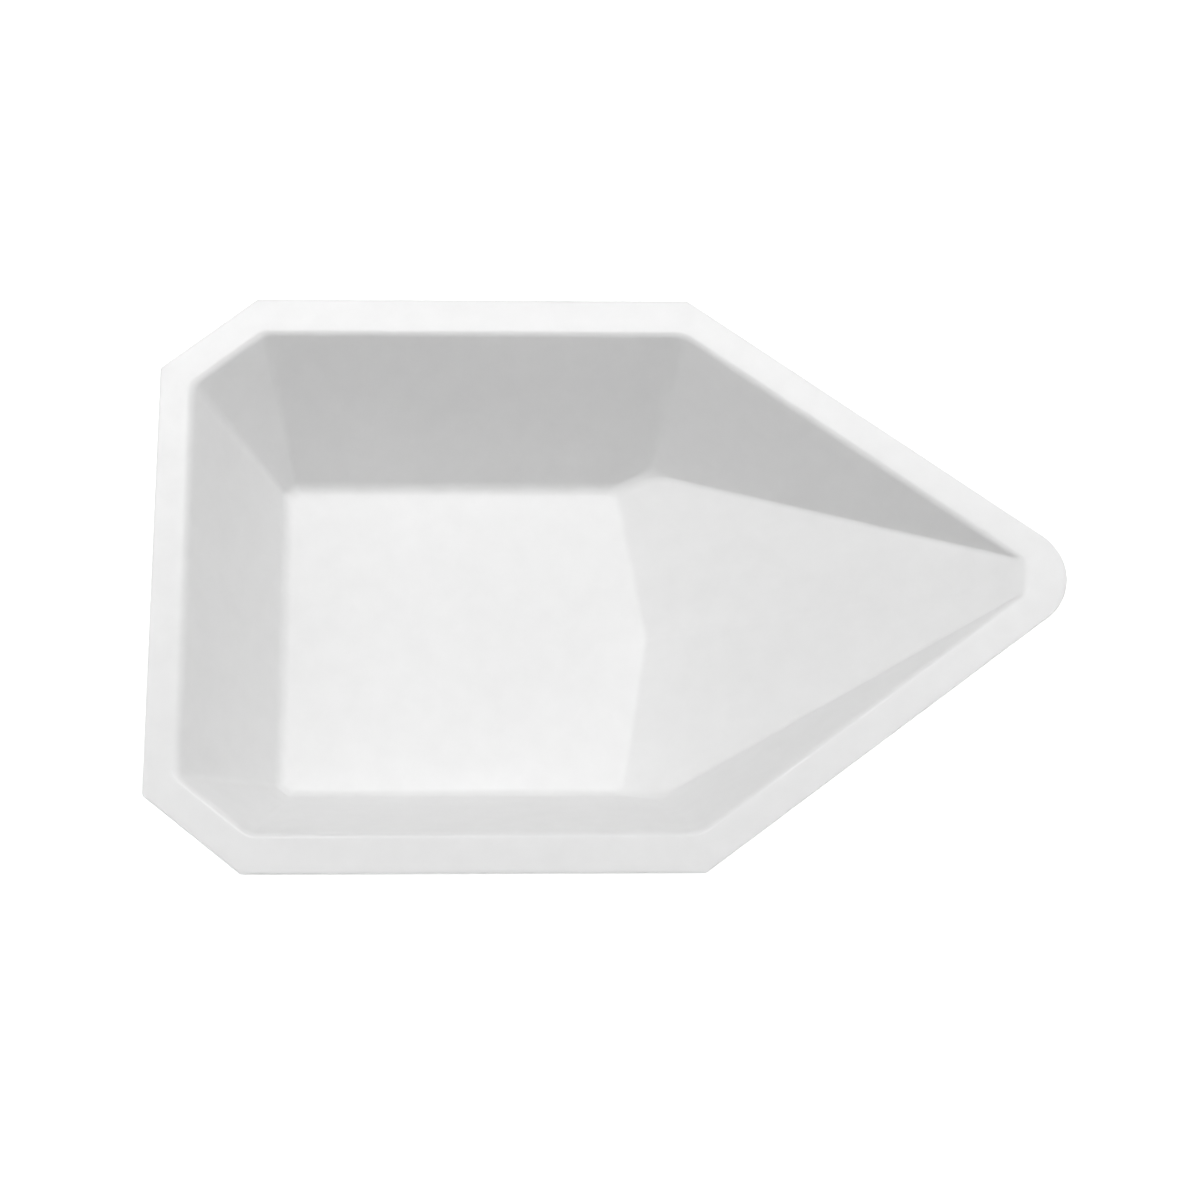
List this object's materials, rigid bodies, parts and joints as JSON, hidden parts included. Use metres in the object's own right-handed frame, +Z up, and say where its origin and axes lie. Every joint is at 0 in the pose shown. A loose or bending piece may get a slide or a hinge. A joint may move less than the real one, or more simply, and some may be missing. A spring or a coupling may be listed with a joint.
{
  "type": "weighing boat",
  "caption": "Shallow white tray with a flat rim, sloping walls, cut back corners and a ramp that rises to a pointed pouring spout.",
  "frame": {"origin": "underside of the floor, below the centre of the rim's bounding rectangle", "axes": "+X from the back edge towards the spout's nose, +Y across the rim, +Z up out of the tray"},
  "size_m": [0.0886, 0.0604, 0.0164],
  "materials": {
    "sheet": "satin white pressed sheet with a very fine grain"
  },
  "bodies": {
    "root": {"boat": "sheet"}
  },
  "joints": []
}
